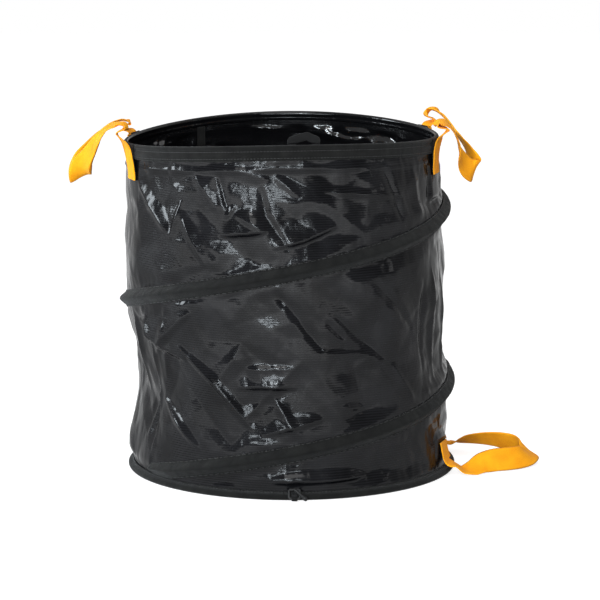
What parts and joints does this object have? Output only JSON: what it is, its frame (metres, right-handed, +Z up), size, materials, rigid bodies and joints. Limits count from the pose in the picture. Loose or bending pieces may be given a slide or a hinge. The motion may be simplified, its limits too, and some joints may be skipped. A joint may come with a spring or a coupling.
{
  "type": "pop up leaf bag",
  "caption": "Open-topped collapsible garden bag: a ripstop cylinder held up by a spiral spring wire, with taped rim and base, webbing handles and a closing strap.",
  "frame": {"origin": "middle of the base, on the floor that the bag stands on", "axes": "+Z up, -Y towards the front with the closing strap and ring, +X towards the side with the base handle"},
  "size_m": [0.6123, 0.4361, 0.4671],
  "materials": {
    "coated_fabric": "glossy black coated ripstop, crumpled",
    "binding_tape": "matte black woven tape",
    "orange_webbing": "woven orange-yellow webbing",
    "black_webbing": "woven black webbing",
    "spring_steel": "drawn spring wire",
    "black_plastic": "satin moulded plastic"
  },
  "bodies": {
    "base": {"base_hoop_wire": "spring_steel", "base_wire_ferrule": "spring_steel", "base_binding": "binding_tape", "floor_panel": "coated_fabric", "bag_wall": "coated_fabric", "spiral_wire": "spring_steel", "spiral_sleeve": "binding_tape", "wall_seam_tape": "binding_tape", "base_front_tail": "orange_webbing", "base_rear_tail": "orange_webbing", "closure_tab": "black_webbing"},
    "rim": {"rim_hoop_wire": "spring_steel", "rim_wire_ferrule": "spring_steel", "rim_hem": "binding_tape", "left_front_tail": "orange_webbing", "left_rear_tail": "orange_webbing", "right_front_tail": "orange_webbing", "right_rear_tail": "orange_webbing", "left_front_backing": "black_webbing", "left_rear_backing": "black_webbing", "right_front_backing": "black_webbing", "right_rear_backing": "black_webbing", "closure_strap_left_foot": "black_webbing", "closure_strap_right_foot": "black_webbing"},
    "left_handle": {"left_handle_loop": "orange_webbing"},
    "right_handle": {"right_handle_loop": "orange_webbing"},
    "base_handle": {"base_handle_loop": "orange_webbing"},
    "closure_strap": {"closure_strap": "black_webbing"},
    "closure_ring": {"closure_ring": "black_plastic", "closure_toggle": "black_plastic"}
  },
  "joints": [
    {"name": "collapse", "type": "slide", "parent": "base", "child": "rim", "axis": [0, 0, 1], "range_m": [-0.35, 0], "stiffness_N_per_m": 60, "springref_m": 0.1, "deforming": ["bag_wall", "spiral_wire", "spiral_sleeve", "wall_seam_tape"]},
    {"name": "left_handle_swing", "type": "hinge", "parent": "rim", "child": "left_handle", "pos_m": [-0.2131, 0, 0.4382], "axis": [0, 0.9964, -0.0847], "range_deg": [0, 150]},
    {"name": "right_handle_swing", "type": "hinge", "parent": "rim", "child": "right_handle", "pos_m": [0.18537, 0.01392, 0.44489], "axis": [0.0697, -0.997, 0.035], "range_deg": [0, 140]},
    {"name": "base_handle_swing", "type": "hinge", "parent": "base", "child": "base_handle", "pos_m": [0.20805, 0, 0.0132], "axis": [0, -1, 0], "range_deg": [0, 85]},
    {"name": "closure_strap_swing", "type": "hinge", "parent": "rim", "child": "closure_strap", "pos_m": [0.01496, -0.19172, 0.44393], "axis": [0.989, 0.1478, 0], "range_deg": [-75, 80], "stiffness_Nm_per_rad": 0.002},
    {"name": "closure_ring_swing", "type": "hinge", "parent": "base", "child": "closure_ring", "pos_m": [0.0035, -0.21558, 0.00359], "axis": [1, 0, 0], "range_deg": [0, 75]}
  ]
}
